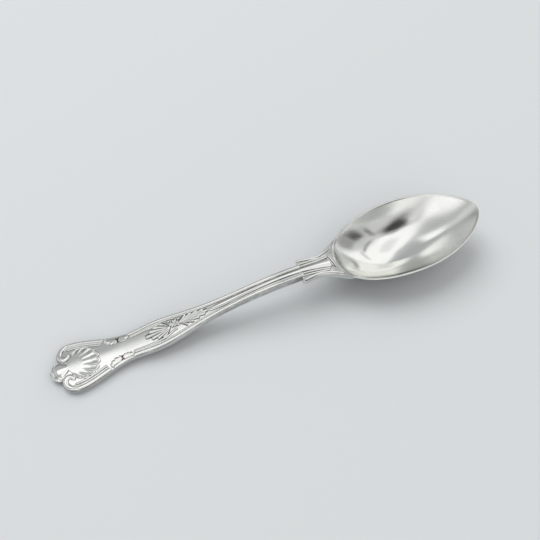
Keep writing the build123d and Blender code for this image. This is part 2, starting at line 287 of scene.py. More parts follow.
def skin(upper, lower, rings=False, tone=0.0, under_tone=0.0):
    """Points, faces and tones of a closed skin between two grids of places, rows x columns x 3."""
    rows, columns = upper.shape[:2]
    place = np.arange(rows * columns).reshape(rows, columns)
    if rings:
        place = np.concatenate([place, place[:, :1]], axis=1)
    below = place + rows * columns

    def sheet(grid):
        corners = grid[:-1, :-1], grid[1:, :-1], grid[1:, 1:], grid[:-1, 1:]
        return places(*corners).reshape(-1, 4)

    def wall(first, second):
        return places(first[:-1], first[1:], second[1:], second[:-1])

    faces = [sheet(place), sheet(below)[:, ::-1], wall(below[-1], place[-1])]
    if rings:
        caps = [place[0, :-1].tolist(), below[0, -2::-1].tolist()]
    else:
        faces.append(wall(place[0], below[0]))
        faces.append(wall(below[:, 0], place[:, 0]))
        faces.append(wall(place[:, -1], below[:, -1]))
        caps = []
    points = np.concatenate([upper.reshape(-1, 3), lower.reshape(-1, 3)])
    tones = [np.broadcast_to(value, (rows, columns)).ravel() for value in (tone, under_tone)]
    return points, np.concatenate(faces).tolist() + caps, np.concatenate(tones)


def raised(x, y, height, tone, rings=False, back=False):
    """Skin of metal raised by a height above the handle's front, or out of its back."""
    if back:
        face = back_face(x, y)
        inside, outside = face + SUNK, face - height
        return skin(places(x, y, inside), places(x, y, outside), rings, 0.0, tone)
    face = front_face(x, y)
    return skin(places(x, y, face + height), places(x, y, face - SUNK), rings, tone)


skins = {}
print("ornament reaches", SUNK, "mm into the metal below it")

# %% [markdown]
# Handle: one sheet for the front, one for the back, with rounded edges and a plain side wall between
# them. The columns crowd together towards the edge, where the metal turns, and the last column of each
# sheet lies on the wall. The rows crowd together in the two lobes at the end. Each shade below is
# painted shade: an amount, then where along x it begins and where it is full. It is laid on the edge
# by the step, the end beside the knop, the side walls along the stem and the top of the wall under the
# band, where shadow and dark reflections fall on the metal.

# %% Handle
ACROSS = 121
WALL_STEP = 0.5
EDGE_SHARE, WALL_SHARE = 0.995, 0.998
STEP_SHADE = (1.0, STEP_X - 5.5, STEP_X - 2.0)
KNOP_SHADE = (1.0, 3.5, 3.3)
STEM_SHADE = (0.5, 38, 58)
BAND_SHADE = (0.95, 42, 36)
LOBE_SHADE = (0.6, 11, 9)


def painted_shade(value, amount, start, stop):
    """Painted shade that grows up to an amount."""
    return amount * ramp(value, start, stop)


lobe_rows = LOBE_X - LOBE_RADIUS * np.cos(np.linspace(0.02, np.pi / 2, 48))
stem_rows = np.linspace(LOBE_X, STEP_X + 0.6, 500)[1:]
rows = np.concatenate([lobe_rows, stem_rows])
across = np.pad(to_both_edges(ACROSS), 1, mode="edge")
x = np.repeat(rows[:, None], ACROSS + 2, 1)
y = half_width(x) * across
# Painted shade: the edge by the step, the end beside the knop and the side walls are made darker.
by_step = painted_shade(x, *STEP_SHADE) * (abs(across) > EDGE_SHARE)
by_knop = painted_shade(x, *KNOP_SHADE) * (abs(y) < LOBE_Y)
on_wall = abs(across) > WALL_SHARE
by_stem = painted_shade(x, *STEM_SHADE) * on_wall
below_band = painted_shade(x, *BAND_SHADE) * on_wall
below_band[:, [0, -1]] = painted_shade(rows, *LOBE_SHADE)[:, None]
tone = -np.maximum(np.maximum(by_step, by_knop), by_stem)
front, back = places(x, y, front_face(x, y)), places(x, y, back_face(x, y))
front[:, [0, -1], 2] -= WALL_STEP
back[:, [0, -1], 2] += WALL_STEP
skins["handle"] = [skin(front, back, False, np.minimum(tone, -below_band), tone)]
print("handle:", x.size * 2, "points")

# %% [markdown]
# Shape of the bowl: deep and egg-shaped, drawn to a soft point at the tip. It was pressed over a round
# stake, so rings that sink towards the middle describe it well. The tilt lifts its tip.

# %% Shape of the bowl
BOWL_X = HEEL_X + 26.6 * np.cos(BOWL_TILT)
RIM_Z = 12.478
BOWL_OUTER = (26.59, 14.49, 12.5)
BOWL_INNER = (26.0, 13.9, 11.3)
TIP_POINT, HEEL_FULL, OUTLINE_POWER, ROUNDNESS = 0.26, 0.2, 6, 2.3
TABLE_SOFT = 0.02


def bowl_shaping(turn):
    """Share of the bowl's width at a turn: fuller at the heel, narrower at the tip."""
    to_tip = ((1 + np.cos(turn)) / 2) ** OUTLINE_POWER
    to_heel = ((1 - np.cos(turn)) / 2) ** OUTLINE_POWER
    return 1 - TIP_POINT * to_tip + HEEL_FULL * to_heel


def bowl_ring(turn, share, form):
    """Ring of one of the bowl's faces, about the middle of its rim."""
    length, width, depth = form
    along = length * share * np.cos(turn)
    aside = width * share * np.sin(turn) * bowl_shaping(turn)
    level = -depth * (1 - share**ROUNDNESS) + 0 * turn
    return places(along, aside, level)


def place_bowl(points):
    """Tilts the bowl tip up and sets it in place, with its lowest point worn flat on the table."""
    x, y, z = np.moveaxis(points, -1, 0)
    height = RIM_Z + z * np.cos(BOWL_TILT) + x * np.sin(BOWL_TILT)
    height = (height + np.sqrt(height**2 + TABLE_SOFT**2)) / 2
    return places(BOWL_X + x * np.cos(BOWL_TILT) - z * np.sin(BOWL_TILT), y, height)


print("middle of the bowl, mm from the handle's tip:", round(BOWL_X, 2))

# %% [markdown]
# Bowl: the seen sheet runs from the bottom of the hollow up and over the rounded rim. The other sheet is
# the back of the bowl, and a few small rings at its lowest point give it as many rows as the first.

# %% Bowl
RIM_ROUND = 0.3
BELOW_RIM = 0.05
HEEL_SHADE = (0.62, 100.2, 98.2)

turn = np.linspace(0, 2 * np.pi, 288, endpoint=False)
shares = to_one_edge(90, 0.01)
inner = np.stack([bowl_ring(turn, share, BOWL_INNER) for share in shares])
outer = np.stack([bowl_ring(turn, share, BOWL_OUTER) for share in shares])
lip = []
for lean in np.linspace(-1, 1, 13):
    across_rim = (1 + lean) / 2
    ring = inner[-1] * (1 - across_rim) + outer[-1] * across_rim
    ring[:, 2] = -RIM_ROUND * (1 - quarter_round(lean, 0.98))
    lip.append(ring)
keep = inner[:, 0, 2] < lip[0][0, 2] - BELOW_RIM
seen_sheet = np.concatenate([inner[keep], np.stack(lip)])
keep = outer[:, 0, 2] < lip[-1][0, 2] - BELOW_RIM
hidden = outer[keep]
spare = len(seen_sheet) - len(hidden)
fill = np.stack([hidden[0] * t for t in np.linspace(0.4, 1, spare, endpoint=False)])
fill[:, :, 2] = hidden[0, 0, 2]
hidden_sheet = np.concatenate([fill, hidden])
seen_place = place_bowl(seen_sheet)
# Painted shade: the hollow and the rim by the heel are made darker, where shade lies in the bowl.
tone = -painted_shade(seen_place[..., 0], *HEEL_SHADE)
skins["bowl"] = [skin(seen_place, place_bowl(hidden_sheet), True, tone)]
print("bowl:", seen_sheet.shape, hidden_sheet.shape)

# %% [markdown]
# The neck needs to know where the bowl's two faces are at any place in plan, so that it can run into
# them. The tilt makes that a small puzzle, which a few rounds of trial settle.

# %% Height of the bowl at a place


def bowl_height(x, y, form):
    """Height of the bowl's inner or outer face above a place in plan, by a few rounds of trial."""
    length, width, depth = form
    height = np.full(np.broadcast(x, y).shape, RIM_Z - 1.0)
    for _ in range(12):
        along = (x - BOWL_X) * np.cos(BOWL_TILT) + (height - RIM_Z) * np.sin(BOWL_TILT)
        turn = np.arctan2(y / width, along / length)
        for _ in range(4):
            turn = np.arctan2(y / (width * bowl_shaping(turn)), along / length)
        share = np.hypot(along / length, y / (width * bowl_shaping(turn)))
        level = -depth * (1 - share**ROUNDNESS)
        height = RIM_Z + level * np.cos(BOWL_TILT) + along * np.sin(BOWL_TILT)
    return height


print("bottom of the hollow, mm:", round(float(bowl_height(BOWL_X, 0.0, BOWL_INNER)), 2))

# %% [markdown]
# Shoulders: the neck widens by a step on each side into two small wings, waists, and then flares out
# along the bowl's rim. The front runs over the heel in a soft ridge and sinks into the hollow.

# %% Shoulders
INSIDE_RIM = 1.5
INTO_BOWL = (0.86, 1.0)
UNDER_HOLLOW, INSIDE_BACK, THINNEST = 0.12, 0.3, 0.1
SADDLE_SHADE = (0.5, 91, 95)

rim_turn = np.linspace(np.pi, 2.0, 200)
inset = (BOWL_OUTER[0] - INSIDE_RIM, BOWL_OUTER[1] - INSIDE_RIM, BOWL_OUTER[2])
rim_line = place_bowl(bowl_ring(rim_turn, 1.0, inset))
flare_y = float(np.interp(FLARE_X, rim_line[:, 0], rim_line[:, 1]))
run = np.concatenate([1 - np.cos(np.linspace(0, np.pi / 3, 30)), np.linspace(0.5, 1, 90)[1:]])[:, None]
span = to_both_edges(101)[None, :]
end_x = np.interp(abs(span * flare_y), rim_line[:, 1], rim_line[:, 0])
x = WING_X + run * (end_x - WING_X)
side_x = WING_X + run * (FLARE_X - WING_X)
y = span * (wing_width(side_x) * (1 - run**4) + flare_y * run**4)
distance = (1 - abs(span)) * wing_width(side_x)
distance = np.minimum(distance, x - WING_X + LEDGE)
into_bowl = ease(run, *INTO_BOWL)
front = front_level(x, y) - edge_drop(distance, EDGE_ROUND)
front = front * (1 - into_bowl) + (bowl_height(x, y, BOWL_INNER) - UNDER_HOLLOW) * into_bowl
under = front_height(x) - thickness(x) + edge_drop(distance, BACK_ROUND)
under = under * (1 - into_bowl) + (bowl_height(x, y, BOWL_OUTER) + INSIDE_BACK) * into_bowl
under = np.minimum(under, front - THINNEST)
# Painted shade: the saddle round the heel bar is made darker.
tone = -painted_shade(x, *SADDLE_SHADE)
skins["shoulders"] = [skin(places(x, y, front), places(x, y, under), False, tone)]
print("flare, mm from the middle:", round(flare_y, 2))

# %% [markdown]
# Knop: the rounded tongue at the tip, which keeps the end from biting into a hand. A shallow crease
# sets a crescent-shaped nose off from its body, and the body narrows to pass between the scrolls.

# %% Knop
KNOP_RADIUS = 3.35
KNOP_TAIL = 6.4
KNOP_MID, KNOP_UP, KNOP_DOWN = 1.75, 1.8, 1.68
TAIL_NARROWS, TAIL_POWER, TAIL_THINS = 0.6, 1.2, 0.3
PILLOW_POWER, NOSE_POWER = 1.2, 2.2
NOSE_CREASE_X, NOSE_CREASE_RADIUS, NOSE_CREASE_OVAL = KNOP_RADIUS + 0.9, 3.0, 0.82
NOSE_CREASE_WIDTH, NOSE_CREASE_DEPTH, NOSE_CREASE_DARKENING = 0.3, 0.18, 0.35
NOSE_CREASE_END = (KNOP_RADIUS + 0.6, KNOP_RADIUS - 0.6)
SIDE_SHADE = (1.0, 0.9, 1.0)
BESIDE_SCROLL = (2.3, 3.1)
FLOOR_SHADE = (0.75, 0.86, 0.96)

knop_rows = KNOP_RADIUS * (1 - np.cos(np.linspace(0.03, np.pi / 2, 60)))
knop_rows = np.concatenate([knop_rows, np.linspace(KNOP_RADIUS, KNOP_TAIL, 50)[1:]])
lean = to_both_edges(81)[None, :]
x = np.repeat(knop_rows[:, None], 81, 1)
nose = ramp(x, KNOP_RADIUS, 0)
tail = ramp(x, KNOP_RADIUS, KNOP_TAIL)
y = KNOP_RADIUS * quarter_round(nose, 1) * (1 - TAIL_NARROWS * tail**TAIL_POWER) * lean
pillow = quarter_round(lean) ** PILLOW_POWER * quarter_round(nose, power=NOSE_POWER)
ring = np.hypot(x - NOSE_CREASE_X, y * NOSE_CREASE_OVAL) - NOSE_CREASE_RADIUS
crease = np.exp(-((ring / NOSE_CREASE_WIDTH) ** 2)) * ramp(x, *NOSE_CREASE_END)
front = KNOP_MID + KNOP_UP * pillow - NOSE_CREASE_DEPTH * crease
back = KNOP_MID - KNOP_DOWN * pillow * (1 - TAIL_THINS * tail)
# Painted shade: the knop's sides by the scrolls and its nose by the floor are made darker.
by_scroll = painted_shade(abs(lean), *SIDE_SHADE) * ramp(x, *BESIDE_SCROLL)
by_floor = painted_shade(nose, *FLOOR_SHADE)
# The crease is also drawn darker than the knop round it.
tone = -np.maximum(np.maximum(NOSE_CREASE_DARKENING * crease, by_scroll), by_floor)
skins["tip_knop"] = [skin(places(x, y, front), places(x, y, back), False, tone, tone)]
print("knop height, mm:", round(float(front.max()), 2))

# %% [markdown]
# Threads, ribs and reeds are one kind of thing: a half-round bead that follows a line on the metal.
# A line of places is all that it needs. Its ends can be rounded, as where a border stops. A narrow flat
# foot runs round it and is drawn dark, partly as the tarnish that stays in that corner and partly as
# painted shade.

# %% Beads along a line
FOOT = 0.08
FOOT_RISE = 0.02
BEAD_COLUMNS = 21
GROOVE_CONTRAST = 2.2


def rounded(lean, half, flat=2.0, foot=FOOT):
    """Cross-section of raised metal: 1 on its crest and 0 on the flat foot that runs round it."""
    return quarter_round(np.clip(abs(lean) * (half + foot) / half, 0, 1), power=flat)


def groove_tone(section):
    """Tone of raised metal: dark on its foot, bright on its crest."""
    return np.clip(GROOVE_CONTRAST * (section - 0.5), -1, 1)


def bead(
    line, half, height, first_round=0.5, last_round=0.5, back=False, flat=2.0, shade=0.0, foot=FOOT
):
    """Half-round bead along a line of places in plan, with rounded ends, darkened by a shade."""
    line = np.asarray(line, float)
    half = np.broadcast_to(half, len(line))[:, None]
    forward = np.gradient(line, axis=0)
    forward /= np.linalg.norm(forward, axis=1)[:, None]
    sideways = places(-forward[:, 1], forward[:, 0])
    gone = np.concatenate([[0], np.cumsum(np.linalg.norm(np.diff(line, axis=0), axis=1))])
    size = np.ones(len(line))
    if first_round:
        size *= quarter_round(ramp(gone, first_round, 0), 0.99)
    if last_round:
        size *= quarter_round(ramp(gone[-1] - gone, last_round, 0), 0.99)
    size = size[:, None]
    lean = to_both_edges(BEAD_COLUMNS)[None, :]
    reach = (half + foot) * size * lean
    x = line[:, :1] + sideways[:, :1] * reach
    y = line[:, 1:] + sideways[:, 1:] * reach
    section = rounded(lean, half, flat, foot) * size
    return raised(x, y, FOOT_RISE + height * section, groove_tone(section) - shade, back=back)


def edge_line(x0, x1, inset, side, count=200):
    """Line inside the handle's edge, at a distance from it that may change along the way."""
    x = np.linspace(x0, x1, count)
    slope = edge_slope(x)
    length = np.sqrt(1 + slope**2)
    return places(x + inset * slope / length, side * (edge_half(x) - inset / length))


print("foot round the relief, mm:", FOOT)

# %% [markdown]
# Thread border. A broad rolled band follows each edge, with two threads inside it on the wide end and on
# the waist. They stop at the husks and start again after them. The inner thread ends at the tie, and on
# the right it bends in to the ribbon, so the stem carries only the band and one thread. On the wide end,
# painted light makes the grooves of the left band and outer thread lighter than the right's.

# %% Threads of the border
SIDES = (("left", 1), ("right", -1))
BAND_INSET, BAND_HALF, BAND_RISE, BAND_FLAT = 0.63, 0.5, 0.32, 3
THREAD_HALF, THREAD_RISE = 0.31, 0.28
OUTER_INSET, INNER_INSET = 1.5, 2.24
OUTER_ANGLE, INNER_ANGLE = 128, 112
STEM_INSET, STEM_HALF = 1.26, 0.22
BEND_HALF = 0.33
BACK_INSETS = (0.6, 1.35)
END_STOP, WAIST_START, STEM_STOP, BACK_STOP = 18.0, 26.2, STEP_X + 0.4, 61
TIE_LINES = {
    "left": [(WAIST_START, 2.55), (31.0, 2.8), (36.7, 2.75)],
    "right": [(WAIST_START, 2.55), (31.0, 2.75), (35.0, 2.72), (38.0, 2.25), (40.9, 1.15)],
}
TIE_SLOPES = {"left": -0.02, "right": -0.45}
GROOVE_PAINTED_LIGHT = {"left": -0.55, "right": 0.0}


def end_thread(side, inset, first_angle):
    """Thread from the scroll round the lobe and along the edge of the wide end."""
    angle = np.radians(np.linspace(first_angle, 90, 60))
    reach = LOBE_RADIUS - inset
    round_lobe = places(LOBE_X + reach * np.cos(angle), side * (LOBE_Y + reach * np.sin(angle)))
    return np.concatenate([round_lobe[:-1], edge_line(LOBE_X, END_STOP, inset, side)])


narrowing = smooth_curve([(WAIST_START, 0.0), (34, 0.0), (50, 1.0), (STEM_STOP, 1.0)])
run = np.linspace(WAIST_START, STEM_STOP, 500)
stem_inset = OUTER_INSET + (STEM_INSET - OUTER_INSET) * narrowing(run)
stem_half = THREAD_HALF + (STEM_HALF - THREAD_HALF) * narrowing(run)
for hand, side in SIDES:
    # Painted light: on the left, the grooves of the band and outer thread are drawn lighter.
    groove_painted_light = GROOVE_PAINTED_LIGHT[hand]
    band = edge_line(LOBE_X, END_STOP + 0.4, BAND_INSET, side)
    outer = end_thread(side, OUTER_INSET, OUTER_ANGLE)
    inner = end_thread(side, INNER_INSET, INNER_ANGLE)
    skins[f"{hand}_end_thread"] = [
        bead(band, BAND_HALF, BAND_RISE, 0, 0.5, flat=BAND_FLAT, shade=groove_painted_light),
        bead(outer, THREAD_HALF, THREAD_RISE, 0.9, shade=groove_painted_light),
        bead(inner, THREAD_HALF, THREAD_RISE, 0.9),
    ]
    band = edge_line(WAIST_START - 0.6, STEM_STOP, BAND_INSET, side, 500)
    outer = edge_line(WAIST_START, STEM_STOP, stem_inset, side, 500)
    tie_line = TIE_LINES[hand]
    bend = smooth_curve(tie_line, 0.05, TIE_SLOPES[hand])
    inner_run = np.linspace(tie_line[0][0], tie_line[-1][0], 160)
    inner = places(inner_run, side * bend(inner_run))
    skins[f"{hand}_stem_thread"] = [
        bead(band, BAND_HALF, BAND_RISE, 1.0, 0, flat=BAND_FLAT),
        bead(outer, stem_half, THREAD_RISE, 0.8, 0),
        bead(inner, BEND_HALF, THREAD_RISE, 0.8, 0.5),
    ]
    back_lines = [edge_line(LOBE_X, BACK_STOP, inset, side, 300) for inset in BACK_INSETS]
    skins[f"{hand}_back_thread"] = [
        bead(line, THREAD_HALF, THREAD_RISE, 1.0, 2.0, back=True) for line in back_lines
    ]
print("threads:", [name for name in skins if "thread" in name])

# %% [markdown]
# Scrolls: the rolled band broadens round the lobe and winds in on itself. A spiral whose middle drifts
# from the lobe's own middle to the scroll's eye draws that winding in one sweep. Its reach and its half
# width are given at angles in degrees, from the lobe's side round to the eye.

# %% Scrolls
EYE_X, EYE_Y = 5.75, 4.65
SCROLL_REACH = [(90, 3.57), (135, 2.96), (180, 2.44), (225, 1.8), (270, 1.28), (370, 0.68)]
SCROLL_HALF = [(90, BAND_HALF), (135, 0.78), (180, 0.9), (228, 0.88), (270, 0.8), (370, 0.62)]
SCROLL_START, SCROLL_STOP = 90, 370
SCROLL_RISE, SCROLL_SHADE = 0.5, -0.2

angle = np.linspace(SCROLL_START, SCROLL_STOP, 160)
drift = 1 - ramp(angle, SCROLL_STOP, SCROLL_START) ** 2.2
reach = smooth_curve(SCROLL_REACH, -0.015, -0.004)(angle)
scroll_x = LOBE_X + (EYE_X - LOBE_X) * drift + reach * np.cos(np.radians(angle))
scroll_y = LOBE_Y + (EYE_Y - LOBE_Y) * drift + reach * np.sin(np.radians(angle))
scroll_half = np.interp(angle, *np.transpose(SCROLL_HALF))
for hand, side in SIDES:
    line = places(scroll_x, side * scroll_y)
    skins[f"{hand}_scroll"] = [bead(line, scroll_half, SCROLL_RISE, 0, 0.6, shade=SCROLL_SHADE)]
print("broadest part of a scroll's band, mm:", round(2 * float(scroll_half.max()), 2))

# %% [markdown]
# Shell: a scallop whose ribs fan out from a hinge at the knop. Its edge is nearly a circle through the
# hinge, so a rib is about as long as that circle's chord. The middle is a smooth dome, and spoon-shaped
# hollows between the ribs deepen towards the edge, where each ends in a round scallop.

# %% Shell
HINGE_X = 5.5
SHELL_LENGTH = 10.6
FRONT_SHELL_RISE, BACK_SHELL_RISE = 0.62, 0.27
SHELL_SPREAD = np.radians(136)
CHORD_POWER, SCALLOP, BRIM = 0.9, 0.09, 0.93
MIDDLE_SWELL, EDGE_SWELL = 1.1, 0.75
HOLLOWS, HOLLOW_COLUMNS = 10, 26
HOLLOW_STARTS, HOLLOW_STOPS = (0.4, 0.8), (0.88, 0.96)
HOLLOW_DEPTH, HOLLOW_PAINTED_SHADE = 0.38, 0.4


def fan_shell(height, back=False):
    """Fluted fan: rows run out from the hinge and columns sweep from rib to rib."""
    pitch = SHELL_SPREAD / HOLLOWS
    sweep = np.linspace(-SHELL_SPREAD / 2, SHELL_SPREAD / 2, HOLLOW_COLUMNS * HOLLOWS + 1)[None, :]
    out = to_one_edge(80, 0.02)[:, None]
    flute = np.clip((sweep + SHELL_SPREAD / 2) / pitch, 0, HOLLOWS - 1e-6)
    aside = 2 * (flute - np.floor(flute)) - 1
    reach = SHELL_LENGTH * np.cos(sweep) ** CHORD_POWER * (1 - SCALLOP * aside**4)
    x = HINGE_X + out * reach * np.cos(sweep)
    y = out * reach * np.sin(sweep)
    hollow = ease(out, *HOLLOW_STARTS) * (1 - ease(out, *HOLLOW_STOPS)) * (1 - aside**2)
    swell = MIDDLE_SWELL - (MIDDLE_SWELL - EDGE_SWELL) * out**2
    brim = quarter_round(ramp(out, BRIM, 1))
    sides = np.sqrt(ramp(abs(sweep), SHELL_SPREAD / 2, SHELL_SPREAD / 2 - 0.25 * pitch))
    # Painted shade: the hollows between the ribs are made darker towards their middles.
    tone = groove_tone(brim * sides) * (1 - hollow) - HOLLOW_PAINTED_SHADE * hollow**2
    rise = height * (swell * brim * sides - HOLLOW_DEPTH * hollow)
    return raised(x, y, FOOT_RISE + rise, tone, back=back)


skins["front_shell"] = [fan_shell(FRONT_SHELL_RISE)]
skins["back_shell"] = [fan_shell(BACK_SHELL_RISE, back=True)]
print("shell:", HOLLOWS, "hollows")

# %% [markdown]
# Leaves and petals are tongues of metal: a middle line that may bend, a width that swells and closes,
# and a rounded top. A dark foot runs round each, where the die left a sharp corner that holds tarnish;
# the foot is also painted shade, the shadow round each leaf and petal. Small round bosses, made of
# rings, sit between them.

# %% Leaves, petals and bosses
DEEP_FOOT = 0.26
TONGUE_ROWS = 40
TONGUE_SWELL, ROOT_CREST, TIP_START = 1.4, 0.5, 0.88


def tongue(root, tip, half, height, bend=0.0, root_share=0.25, foot=DEEP_FOOT, shade=0.0):
    """Leaf or petal from its root to its round tip, bent sideways, darkened by a shade."""
    root, tip = np.array(root, float), np.array(tip, float)
    length = np.linalg.norm(tip - root)
    forward = (tip - root) / length
    sideways = np.array([-forward[1], forward[0]])
    go = to_one_edge(TONGUE_ROWS)[:, None]
    lean = to_both_edges(BEAD_COLUMNS)[None, :]
    width = root_share + (1 - root_share) * go**TONGUE_SWELL
    width = width * quarter_round(ramp(go, 1 - half / length, 1), 0.99)
    crest = ROOT_CREST + (1 - ROOT_CREST) * go**2
    end = quarter_round(ramp(go, TIP_START, 1), 0.99)
    middle = root + go[..., None] * (tip - root) + (bend * 4 * go * (1 - go))[..., None] * sideways
    place = middle + ((half * width + foot) * lean)[..., None] * sideways
    section = rounded(lean, half * width, foot=foot) * end
    tone = groove_tone(section) - shade
    return raised(place[..., 0], place[..., 1], FOOT_RISE + height * crest * section, tone)


def dome(x0, y0, length, width, height):
    """Round or oval boss: rings about its middle."""
    share = to_one_edge(20, 0.04)[:, None]
    angle = np.linspace(0, 2 * np.pi, 48, endpoint=False)[None, :]
    x = x0 + (length + FOOT) * share * np.cos(angle)
    y = y0 + (width + FOOT) * share * np.sin(angle)
    section = rounded(share, min(length, width)) + 0 * angle
    return raised(x, y, FOOT_RISE + height * section, groove_tone(section), rings=True)


print("a leaf has", 2 * TONGUE_ROWS * BEAD_COLUMNS, "points")

# %% [markdown]
# Honeysuckle and leaf spray on the waist. The flower opens towards the wide end in seven petals with
# round tips, and a spray of leaves runs up the stem behind it. As on the real spoon, the spray stands a
# little off the middle. Each row gives a tip, a half width and a bend.

# %% Honeysuckle and leaf spray
PETAL_ROOT, PETAL_RISE = (39.2, 0.1), 0.5
PETALS = [
    ((31.0, 0.2), 0.66, 0.0),
    ((32.3, 1.55), 0.62, -0.1),
    ((33.9, 2.45), 0.58, -0.25),
    ((36.2, 2.75), 0.52, -0.35),
    ((32.7, -1.1), 0.6, 0.1),
    ((34.5, -1.85), 0.56, 0.25),
    ((36.3, -2.3), 0.5, 0.35),
]
FLOWER_HEART = (38.6, 0.15, 0.9, 0.75, 0.42)
SPRAY_ROOT, SPRAY_RISE = (42.2, 0.45), 0.44
SPRAY = [
    ((52.2, 0.3), 0.5, 0.0),
    ((51.0, 1.2), 0.5, -0.15),
    ((49.0, 1.65), 0.52, -0.2),
    ((47.0, 2.0), 0.52, -0.2),
    ((51.2, -0.4), 0.5, 0.15),
    ((49.1, -0.85), 0.5, 0.2),
    ((47.1, -1.25), 0.5, 0.2),
    ((45.2, 2.25), 0.5, -0.2),
    ((45.0, -1.6), 0.5, 0.2),
]
skins["front_honeysuckle"] = [
    tongue(PETAL_ROOT, tip, half, PETAL_RISE, bend, root_share=0.3) for tip, half, bend in PETALS
]
skins["front_honeysuckle"].append(dome(*FLOWER_HEART))
skins["front_leaf_spray"] = [
    tongue(SPRAY_ROOT, tip, half, SPRAY_RISE, bend, root_share=0.4) for tip, half, bend in SPRAY
]
print("petals:", len(PETALS), "leaves:", len(SPRAY))

# %% [markdown]
# Tie: a crossed ribbon binds flower and spray in a knot of small beads. Each bead has its place, half
# length and half width. Each ribbon runs from one end over the knot to its other end.

# %% Tie
KNOT_BEADS = [
    (40.9, 2.7, 0.45, 0.4),
    (40.9, -1.35, 0.5, 0.36),
    (41.9, 0.75, 0.5, 0.36),
    (40.7, 1.75, 0.45, 0.4),
    (39.6, 0.7, 0.5, 0.36),
    (40.9, -0.15, 0.45, 0.36),
    (39.3, 2.2, 0.5, 0.4),
    (42.6, 1.75, 0.6, 0.36),
]
RIBBONS = [((39.7, -0.1), (40.7, 0.75), (41.9, 1.8)), ((39.3, 1.3), (40.7, 0.7), (42.4, -0.4))]
KNOT_RISE, RIBBON_RISE, RIBBON_HALF, RIBBON_FOOT, RIBBON_SHADE = 0.44, 0.58, 0.4, 0.12, -0.25

skins["front_tie"] = [dome(*knot_bead, KNOT_RISE) for knot_bead in KNOT_BEADS]
for first, knot, last in RIBBONS:
    ribbon = smooth_curve([first, knot, last], (knot[1] - first[1]) / 2, (last[1] - knot[1]) / 2)
    along = np.linspace(first[0], last[0], 70)
    line = places(along, ribbon(along))
    ribbon_bead = bead(line, RIBBON_HALF, RIBBON_RISE, 0.4, 0.4, foot=RIBBON_FOOT, shade=RIBBON_SHADE)
    skins["front_tie"].append(ribbon_bead)
print("skins of the tie:", len(skins["front_tie"]))

# %% [markdown]
# Husks: a clump of small leaves covers each bracket, where the border changes. Four lobes face the wide
# end, and a smoother leaf of three lobes lies the other way, towards the waist. Brown tarnish stays in
# the crease between them, drawn here as thin dark beads. A lobe has root, tip, half width and height.

# %% Husks
HUSK_LOBES = [
    ((22.1, 3.5), (18.2, 4.5), 0.62, 0.44),
    ((22.1, 3.4), (18.7, 3.75), 0.7, 0.5),
    ((22.1, 3.2), (19.8, 3.0), 0.72, 0.52),
    ((22.1, 3.0), (21.2, 2.45), 0.6, 0.46),
    ((22.9, 3.3), (26.0, 3.1), 0.85, 0.4),
    ((22.9, 3.2), (25.0, 2.55), 0.62, 0.4),
    ((22.9, 3.0), (24.0, 2.35), 0.52, 0.38),
]
HUSK_FOOT, HUSK_SHADE = 0.12, -0.4
HUSK_BEAD_X, HUSK_BEAD_Y, HUSK_BEAD_SIZE = 18.9, 4.9, (0.42, 0.36, 0.44)
CREASES = [((22.5, 2.3), (22.5, 3.7)), ((22.5, 3.6), (21.9, 4.1)), ((22.5, 3.6), (23.1, 4.0))]
CREASE_HALF, CREASE_RISE, CREASE_SHADE = 0.15, 0.42, 3.0

for hand, side in SIDES:
    clump = [dome(HUSK_BEAD_X, side * HUSK_BEAD_Y, *HUSK_BEAD_SIZE)]
    for root, tip, half, height in HUSK_LOBES:
        start, stop = (root[0], side * root[1]), (tip[0], side * tip[1])
        lobe = tongue(start, stop, half, height, root_share=0.75, foot=HUSK_FOOT, shade=HUSK_SHADE)
        clump.append(lobe)
    for (x0, y0), (x1, y1) in CREASES:
        line = places(np.linspace(x0, x1, 30), side * np.linspace(y0, y1, 30))
        clump.append(bead(line, CREASE_HALF, CREASE_RISE, 0.3, 0.3, shade=CREASE_SHADE))
    skins[f"{hand}_husk"] = clump
print("husk skins:", len(skins["left_husk"]))

# %% [markdown]
# Stem rib and heel bar. The middle of the stem is one rounded rib, which widens over the neck and stops
# at a double bar across the heel. The bar stands a little askew, as on the real spoon.

# %% Stem rib and heel bar
BAR_X = 94.6
BAR_SLANT, BAR_BEND = 0.22, 0.04
BARS = [(BAR_X + 0.3, 1.85), (BAR_X + 1.05, 2.5)]
RIB_START = 51.8
RIB_STATIONS = [(RIB_START, 0.3), (56, 0.85), (62, 0.82), (STEP_X, 0.82), (BAR_X, 1.85)]
RIB_RISE, RIB_FLAT = 0.52, 1.4
BAR_HALF, BAR_RISE = 0.25, 0.42

rib_run = np.linspace(RIB_START, BAR_X, 320)
rib_half = smooth_curve(RIB_STATIONS, 0.2, 0.16)(rib_run)
rib_line = places(rib_run, 0 * rib_run)
skins["stem_rib"] = [bead(rib_line, rib_half, RIB_RISE, 2.0, 0, flat=RIB_FLAT)]

skins["heel_bar"] = []
for x0, reach in BARS:
    offset = np.linspace(-reach, reach, 70)
    line = places(x0 - BAR_BEND * offset**2 - BAR_SLANT * offset, offset)
    skins["heel_bar"].append(bead(line, BAR_HALF, BAR_RISE, 0.3, 0.3))
print("widest part of the rib, mm:", round(2 * float(rib_half.max()), 2))

# %% [markdown]
# Wing reeds: two reeds on each wing gather towards the heel bar. A third, flatter one follows the wing's
# edge and thins out where the neck flares into the rim.

# %% Wing reeds
REEDS = [((84.0, 1.35), (94.3, 2.15)), ((84.0, 2.25), (93.8, 2.75))]
REED_HALF, REED_RISE, REED_SAG = 0.33, 0.36, 0.28
WING_EDGE_INSET, WING_EDGE_STOP, WING_EDGE_HALF = 0.45, 97.5, (0.42, 0.2)

